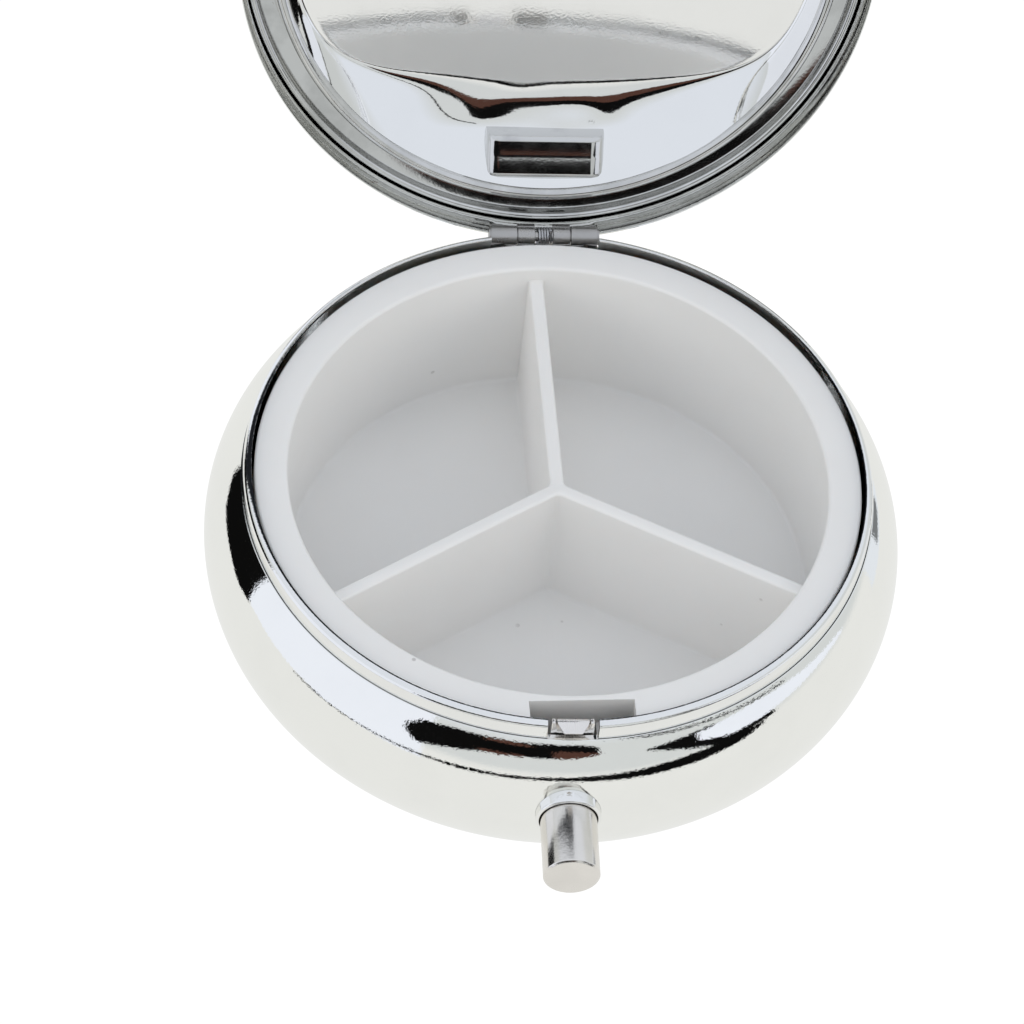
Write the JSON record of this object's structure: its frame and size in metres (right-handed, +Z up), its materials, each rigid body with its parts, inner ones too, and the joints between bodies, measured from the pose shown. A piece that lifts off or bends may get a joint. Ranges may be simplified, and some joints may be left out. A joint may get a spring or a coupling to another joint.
{
  "type": "travel pill organizer",
  "caption": "Round push-button pill box: pressed metal case with a hinged lid around a white divided tray.",
  "frame": {"origin": "middle of the flat resting face under the case", "axes": "+Z up; +Y from the push button towards the hinge; +X to the right, along the hinge pin"},
  "size_m": [0.05, 0.0759, 0.055],
  "materials": {
    "case_chrome": "polished",
    "ring_chrome": "polished",
    "tray_plastic": "smooth moulded, satin",
    "plain_steel": "plain plated",
    "spring_steel": "drawn wire",
    "button_nickel": "satin nickel",
    "latch_nickel": "plated",
    "lid_inner_steel": "plated, fine wear",
    "lid_dish_polish": "mirror polish with hairline scratches"
  },
  "bodies": {
    "base": {"base_shell": "case_chrome", "neck_ring": "ring_chrome", "pill_tray": "tray_plastic", "button_collar": "ring_chrome", "latch_guide": "plain_steel", "base_hinge_leaf": "plain_steel", "hinge_leaf_rivets": "plain_steel", "hinge_pin": "plain_steel", "hinge_spring": "spring_steel", "button_spring": "spring_steel"},
    "button": {"push_button": "button_nickel", "button_stem": "plain_steel", "latch_tongue": "latch_nickel", "stem_retainer": "plain_steel"},
    "lid": {"lid_shell": "case_chrome", "lid_frame_ring": "lid_inner_steel", "lid_plate": "lid_dish_polish", "lid_hinge_leaf": "plain_steel", "lid_hinge_cover": "lid_inner_steel", "lid_catch": "lid_inner_steel"}
  },
  "joints": [
    {"name": "lid_hinge", "type": "hinge", "parent": "base", "child": "lid", "pos_m": [0, 0.02305, 0.0127], "axis": [1, 0, 0], "range_deg": [0, 114], "stiffness_Nm_per_rad": 0.0008, "springref_deg": -34.38, "deforming": ["hinge_spring"]},
    {"name": "button_press", "type": "slide", "parent": "base", "child": "button", "axis": [0, 1, 0], "range_m": [0, 0.0011], "stiffness_N_per_m": 400, "springref_m": -0.001, "deforming": ["button_spring"]}
  ]
}
